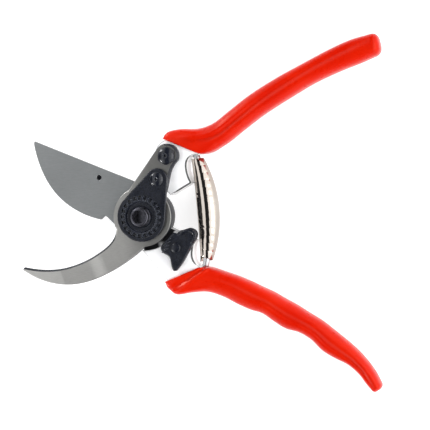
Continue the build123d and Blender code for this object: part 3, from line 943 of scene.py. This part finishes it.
def domed(name, node, radius, socket_radius, hexed=False):
    """A round or six-sided black screw head with a domed crown and a socket, on its CAD shank's axis."""
    low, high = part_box(node)
    centre = (low[0] + high[0]) / 2, (low[1] + high[1]) / 2
    under = high[2] - (2.6 if hexed else 1.6) * MM
    skirt = under + 0.3 * (high[2] - under)
    rows = [(radius, under), (radius, skirt)]
    edge_tilt, top_tilt = radians(64), radians(14)
    ball = radius / sin(edge_tilt)
    stretch = (high[2] - skirt) / (ball * (cos(top_tilt) - cos(edge_tilt)))
    for k in range(1, 13):
        tilt = edge_tilt + (top_tilt - edge_tilt) * k / 12
        rows.append((ball * sin(tilt), skirt + ball * stretch * (cos(tilt) - cos(edge_tilt))))
    top = high[2]
    socket_rows = [(socket_radius, top - 0.12 * MM), (socket_radius * 0.96, top - 1.0 * MM),
                   (socket_radius * 0.3, top - 1.1 * MM)]
    rows += socket_rows
    steps, shank_radius, hex_levels = 96, 1.7 * MM, 5
    rings = [circle(shank_radius, z, steps, centre) for z in (low[2], under)]
    for level, (r, z) in enumerate(rows):
        ring = []
        for i in range(steps):
            turn = 2 * pi * i / steps
            reach = r
            wedge = (turn + pi / 6) % (pi / 3) - pi / 6
            if hexed and level < hex_levels:
                reach = min(r, radius * 0.92 / cos(wedge))
            if level >= len(rows) - len(socket_rows):
                reach = r * 0.88 / cos(wedge)
            ring.append(Vector((centre[0] + reach * cos(turn), centre[1] + reach * sin(turn), z)))
        rings.append(ring)
    finish_piece(stacked(name, rings, [], BLACK, 32), PIVOT_SIDE, "black", node)


def make_fasteners():
    domed("arm_bolt_hex", "arm_bolt", 4.5 * MM, 1.0 * MM, hexed=True)
    domed("locking_screw_domed", "locking_screw", 3.4 * MM, 0.8 * MM)
    for node, body, slot, material in (("arm_nut", PIVOT_SIDE, "black", BLACK),
                                       ("arm_dowel", PIVOT_SIDE, "steel", STEEL),
                                       ("upper_spring_stud", PIVOT_SIDE, "steel", STEEL),
                                       ("lower_spring_stud", BLADE_SIDE, "steel", STEEL),
                                       ("blade_screws", BLADE_SIDE, "steel", STEEL),
                                       ("pivot_bush", BLADE_SIDE, "bronze", BRONZE)):
        finish_piece(softened(node, 0.15 * MM, material), body, slot, node)


# ---------------------------------------------------------------- forged handles

COAT_OVERLAP = 2.2 * MM


def trimmed(piece, inner, outer):
    """Ends a forging a little way inside its coat, where nothing shows; inner and outer are the ends of
    the coat's front edge in mm."""
    edge = (Vector((*outer, 0)) - Vector((*inner, 0))).normalized()
    into_coat = Vector((abs(edge.y), -edge.x * (1 if edge.y > 0 else -1), 0))
    work = bmesh.new()
    work.from_mesh(piece.data)
    spot = Vector((*inner, 0)) * MM + into_coat * COAT_OVERLAP
    cut = bmesh.ops.bisect_plane(work, geom=work.verts[:] + work.edges[:] + work.faces[:], plane_co=spot,
                                 plane_no=into_coat, clear_outer=True)
    bmesh.ops.edgeloop_fill(work, edges=[e for e in cut["geom_cut"] if isinstance(e, bmesh.types.BMEdge)])
    work.to_mesh(piece.data)
    work.free()
    return piece


def make_handles():
    """Bare forgings, with painted shade: sides greyer than the tops away from the hub, and a dark bar along
    the edge round the spring's seats.
    """
    upper = trimmed(softened("counter_blade_handle", 0.6 * MM, ALUMINIUM), (28.8, 31.2), (9.0, 39.2))
    lower = trimmed(softened("blade_handle", 0.6 * MM, ALUMINIUM), (29.0, -24.7), (10.2, -32.8))

    def by_seat(face):
        x, y = face.center.x / MM, face.center.y / MM
        return (x > 15.3 and y > 10.5) or (x > 21 and y < -8)

    def on_hub(face):
        return face.center.xy.length < 17.6 * MM and face.center.x > 5 * MM

    # painted shade: sides greyer than the tops, except by the seats and on the hub
    for forging in (upper, lower):
        finish_sides(forging, FORGED_SIDE_SHADE, lambda face: abs(face.normal.z) < 0.3
                     and not by_seat(face) and not on_hub(face))
    finish_piece(upper, PIVOT_SIDE, "aluminium_forging", "counter_blade_handle")
    finish_piece(lower, BLADE_SIDE, "aluminium_forging", "blade_handle")
    add_seat_shade_line("upper_seat_edge", "counter_blade_handle", PIVOT_SIDE, (15.3, 10.6, 31.5, 30.6))
    add_seat_shade_line("lower_seat_edge", "blade_handle", BLADE_SIDE, (23.8, -24.4, 27.0, -11.0))


def add_seat_shade_line(name, node, body, window):
    """A dark bar along a forging's edge round the spring's seat, as painted shade for that edge; window is
    its (x, y, x, y) reach in mm.
    """
    left, front, right, back = [w * MM for w in window]
    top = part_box(node)[1][2]
    loop = even_loop(cad_loops(node, top)[0], 0.5 * MM)
    inside = [left < p.x < right and front < p.y < back for p in loop]
    start = next(i for i in range(len(loop)) if inside[i] and not inside[i - 1])
    path = []
    for i in range(start, start + len(loop)):
        if not inside[i % len(loop)]:
            break
        path.append(loop[i % len(loop)])
    path = [Vector((p.x, p.y, top - 0.3 * MM)) for p in path]
    finish_piece(bar(name, path, 0.85 * MM, 0.42 * MM, SEAT_SHADE_LINE), body, "aluminium_forging")


# ---------------------------------------------------------------- thumb catch

def bar(name, path, width, height, material, ends=0.15):
    """A rounded bar along a path; it tapers over the share ends of its length at both ends."""
    around = 20
    rings = []
    last = len(path) - 1
    for i, spot in enumerate(path):
        ahead = (path[min(last, i + 1)] - path[max(0, i - 1)]).normalized()
        side = Vector((-ahead.y, ahead.x, 0))
        from_end = min(i, last - i) / last
        size = 0.25 + 0.75 * min(1.0, from_end / ends) ** 0.5
        ring = []
        for k in range(around):
            c, s = superellipse(2 * pi * k / around, 2.6)
            ring.append(spot + side * c * width / 2 * size + Vector((0, 0, s * height * size)))
        rings.append(ring)
    return tube(name, rings, material, 40)


def make_catch():
    """A lever with a raised rim round its thumb lobe and a ribbed lobe at its left."""
    lever = plate("thumb_catch_lever", "thumb_catch", BLACK_PLASTIC, 0.9 * MM, 0.45 * MM)
    finish_piece(lever, "catch", "black_plastic", "thumb_catch")
    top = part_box("thumb_catch")[1][2] / MM
    rim_line = (18.9, -9.0), (20.6, -7.7), (24.0, -6.5), (26.9, -8.0), (26.8, -10.6), (25.2, -12.9)
    rim = [Vector((x, y, top - 0.35)) * MM for x, y in rim_line]
    rim_bar = bar("thumb_rim", spline(rim, 48), 1.9 * MM, 1.1 * MM, BLACK_PLASTIC)
    finish_piece(rim_bar, "catch", "black_plastic")
    along = Vector((0.80, 0.60, 0))
    for k in range(4):
        centre = Vector((13.4 - 0.45 * k, -11.6 - 1.65 * k, top + 0.05))
        rib = [(centre + along * reach) * MM for reach in (-2.1, -1.6, -1.0, 0, 1.0, 1.6, 2.1)]
        ridge = bar("thumb_rib_%d" % (k + 1), rib, 0.95 * MM, 0.75 * MM, BLACK_PLASTIC, 0.2)
        finish_piece(ridge, "catch", "black_plastic")
    finish_piece(softened("catch_pin", 0.3 * MM, BLACK_PLASTIC), BLADE_SIDE, "black", "catch_pin")
    finish_piece(softened("catch_washer", 0.1 * MM, STEEL), BLADE_SIDE, "steel", "catch_washer")


# ---------------------------------------------------------------- volute spring

SPRING_REACH = 1.0 * MM        # how far the strip's ends go past the CAD spindle, onto their seats


def make_spring():
    """One flat strip, wound from a small end out to the middle and back in to the other small end."""
    top, middle, foot = [Vector((x, y, 8.3)) * MM for x, y in ((26.4, 28.8), (32.0, 2.0), (31.0, -21.8))]
    axis = arc_through(top, middle, foot, 240)
    length = sum((b - a).length for a, b in zip(axis, axis[1:]))
    turns, per_turn, strip, thick = 13, 44, 5.2 * MM, 0.42 * MM
    corners = [(-0.5, -0.5), (0.0, -0.5), (0.5, -0.5), (0.55, -0.2), (0.55, 0.2), (0.5, 0.5), (0.0, 0.5),
               (-0.5, 0.5), (-0.55, 0.2), (-0.55, -0.2)]
    rings = []
    count = turns * per_turn
    for i in range(count + 1):
        share = i / count
        where = strip * 0.5 - SPRING_REACH + (length - strip + 2 * SPRING_REACH) * share
        turn = 2 * pi * turns * share
        tilt = -0.045 * MM * (1 if share < 0.5 else -1) * min(1.0, abs(share - 0.5) * 12)
        ring = []
        for along, out in corners:
            s = (where + along * strip) / length
            spot, ahead = on_line(axis, s)
            across = ahead.cross(UP).normalized()
            profile = (2.85 + 2.66 * max(0.0, sin(pi * min(1.0, max(0.0, s)))) ** 0.85) * MM
            r = profile + out * thick + tilt * along
            ring.append(spot + (across * cos(turn) + UP * sin(turn)) * r)
        rings.append(ring)
    spring = tube("spring_strip", rings, NICKEL, 40)
    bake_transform(spring)
    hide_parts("spring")


def arc_through(a, b, c, count):
    """Points along the circular arc through three points at one height."""
    d = 2 * (a.x * (b.y - c.y) + b.x * (c.y - a.y) + c.x * (a.y - b.y))
    sq = [p.x ** 2 + p.y ** 2 for p in (a, b, c)]
    cx = (sq[0] * (b.y - c.y) + sq[1] * (c.y - a.y) + sq[2] * (a.y - b.y)) / d
    cy = (sq[0] * (c.x - b.x) + sq[1] * (a.x - c.x) + sq[2] * (b.x - a.x)) / d
    radius = hypot(a.x - cx, a.y - cy)
    first, last = atan2(a.y - cy, a.x - cx), atan2(c.y - cy, c.x - cx)
    return [Vector((cx + radius * cos(first + (last - first) * i / (count - 1)),
                    cy + radius * sin(first + (last - first) * i / (count - 1)), a.z)) for i in range(count)]


def on_line(line, share):
    """The place and direction at a share of a line's length; outside 0 to 1 it runs straight on."""
    place = share * (len(line) - 1)
    i = max(0, min(len(line) - 2, int(place)))
    return line[i].lerp(line[i + 1], place - i), (line[i + 1] - line[i]).normalized()


make_grips()
make_cutting_blade()
make_counter_blade()
make_centre_nut()
make_locking_plate()
make_pivot_bolt()
make_fasteners()
make_handles()
make_catch()
make_spring()
